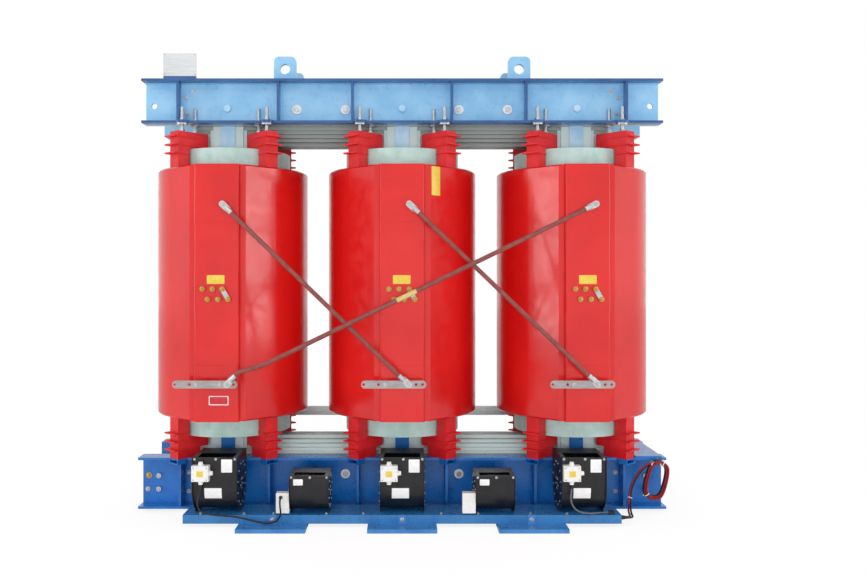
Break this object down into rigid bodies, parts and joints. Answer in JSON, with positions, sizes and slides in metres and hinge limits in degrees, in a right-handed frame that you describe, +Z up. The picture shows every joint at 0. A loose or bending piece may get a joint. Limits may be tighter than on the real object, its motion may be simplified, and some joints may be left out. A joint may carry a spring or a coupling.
{
  "type": "dry type transformer",
  "caption": "Three-phase cast-resin dry type transformer: stacked core in channel clamps, round windings on ribbed blocks, delta rods, cooling blowers on side rails, foot plates.",
  "frame": {"origin": "on the floor at the centre of the foot plates", "axes": "+X along the row of coils, -Y towards the high-voltage side, +Z up"},
  "size_m": [2.5805, 1.18, 2.246],
  "materials": {
    "core_steel": "satin grey-green varnish on stacked sheet edges",
    "pressboard": "matt",
    "blue_paint": "gloss enamel",
    "red_resin": "gloss cast epoxy",
    "green_resin": "satin cast resin",
    "zinc_steel": "bright zinc",
    "tinned_bar": "tinned",
    "brass_stud": "turned",
    "white_plastic": "moulded",
    "black_paint": "semi-gloss powder coat",
    "aluminium_wheel": "pressed",
    "stainless_plate": "brushed",
    "rod_sleeve": "heat-shrink sleeve",
    "cable_black": "PVC sheath",
    "cable_grey": "PVC sheath",
    "cable_maroon": "PVC sheath"
  },
  "bodies": {
    "transformer": {"core_limbs": "core_steel", "core_yoke_top": "core_steel", "core_yoke_bottom": "core_steel", "yoke_insulation": "pressboard", "tie_plates": "blue_paint", "upper_clamp_front": "blue_paint", "upper_clamp_rear": "blue_paint", "lower_clamp_front": "blue_paint", "lower_clamp_rear": "blue_paint", "cross_plate": "blue_paint", "fan_rails": "blue_paint", "base_feet": "blue_paint", "upper_support_blocks": "red_resin", "lower_support_blocks": "red_resin", "pressure_bolts": "zinc_steel", "yoke_bolts": "zinc_steel", "tie_bolts": "blue_paint", "end_studs": "zinc_steel", "hv_line_bars": "tinned_bar", "terminal_bolts": "zinc_steel", "tap_studs": "brass_stud", "tap_links": "tinned_bar", "delta_lugs": "tinned_bar", "lv_phase_bars": "tinned_bar", "lv_neutral_bar": "tinned_bar", "bar_insulators": "red_resin", "fan_boxes": "white_plastic", "nameplate_bracket": "blue_paint", "nameplate": "stainless_plate", "rail_fittings": "cable_black", "hank_hook": "zinc_steel", "fan_lead_left": "cable_black", "fan_lead_right": "cable_grey", "supply_lead_black": "cable_black", "supply_lead_red": "cable_maroon", "supply_hank_black": "cable_black", "supply_hank_red": "cable_maroon", "fan_rear_housings": "black_paint", "hv_winding_left": "red_resin", "lv_winding_left": "green_resin", "delta_rod_left": "rod_sleeve", "hv_winding_centre": "red_resin", "lv_winding_centre": "green_resin", "delta_rod_centre": "rod_sleeve", "hv_winding_right": "red_resin", "lv_winding_right": "green_resin", "delta_rod_right": "rod_sleeve", "fan_front_left_housing": "black_paint", "fan_front_centre_housing": "black_paint", "fan_front_right_housing": "black_paint", "small_fan_left_housing": "black_paint", "small_fan_right_housing": "black_paint"},
    "fan_front_left_wheel": {"fan_front_left_impeller": "aluminium_wheel"},
    "fan_rear_left_wheel": {"fan_rear_left_impeller": "aluminium_wheel"},
    "fan_front_centre_wheel": {"fan_front_centre_impeller": "aluminium_wheel"},
    "fan_rear_centre_wheel": {"fan_rear_centre_impeller": "aluminium_wheel"},
    "fan_front_right_wheel": {"fan_front_right_impeller": "aluminium_wheel"},
    "fan_rear_right_wheel": {"fan_rear_right_impeller": "aluminium_wheel"},
    "small_fan_left_wheel": {"small_fan_left_impeller": "aluminium_wheel"},
    "small_fan_right_wheel": {"small_fan_right_impeller": "aluminium_wheel"}
  },
  "joints": [
    {"name": "fan_front_left_spin", "type": "hinge", "parent": "transformer", "child": "fan_front_left_wheel", "pos_m": [-0.86, -0.388, 0.18], "axis": [1, 0, 0], "continuous": true},
    {"name": "fan_rear_left_spin", "type": "hinge", "parent": "transformer", "child": "fan_rear_left_wheel", "pos_m": [-0.86, 0.388, 0.18], "axis": [1, 0, 0], "continuous": true},
    {"name": "fan_front_centre_spin", "type": "hinge", "parent": "transformer", "child": "fan_front_centre_wheel", "pos_m": [0, -0.388, 0.18], "axis": [1, 0, 0], "continuous": true},
    {"name": "fan_rear_centre_spin", "type": "hinge", "parent": "transformer", "child": "fan_rear_centre_wheel", "pos_m": [0, 0.388, 0.18], "axis": [1, 0, 0], "continuous": true},
    {"name": "fan_front_right_spin", "type": "hinge", "parent": "transformer", "child": "fan_front_right_wheel", "pos_m": [0.834, -0.388, 0.18], "axis": [1, 0, 0], "continuous": true},
    {"name": "fan_rear_right_spin", "type": "hinge", "parent": "transformer", "child": "fan_rear_right_wheel", "pos_m": [0.834, 0.388, 0.18], "axis": [1, 0, 0], "continuous": true},
    {"name": "small_fan_left_spin", "type": "hinge", "parent": "transformer", "child": "small_fan_left_wheel", "pos_m": [-0.428, -0.415, 0.153], "axis": [1, 0, 0], "continuous": true},
    {"name": "small_fan_right_spin", "type": "hinge", "parent": "transformer", "child": "small_fan_right_wheel", "pos_m": [0.428, -0.415, 0.153], "axis": [1, 0, 0], "continuous": true}
  ]
}
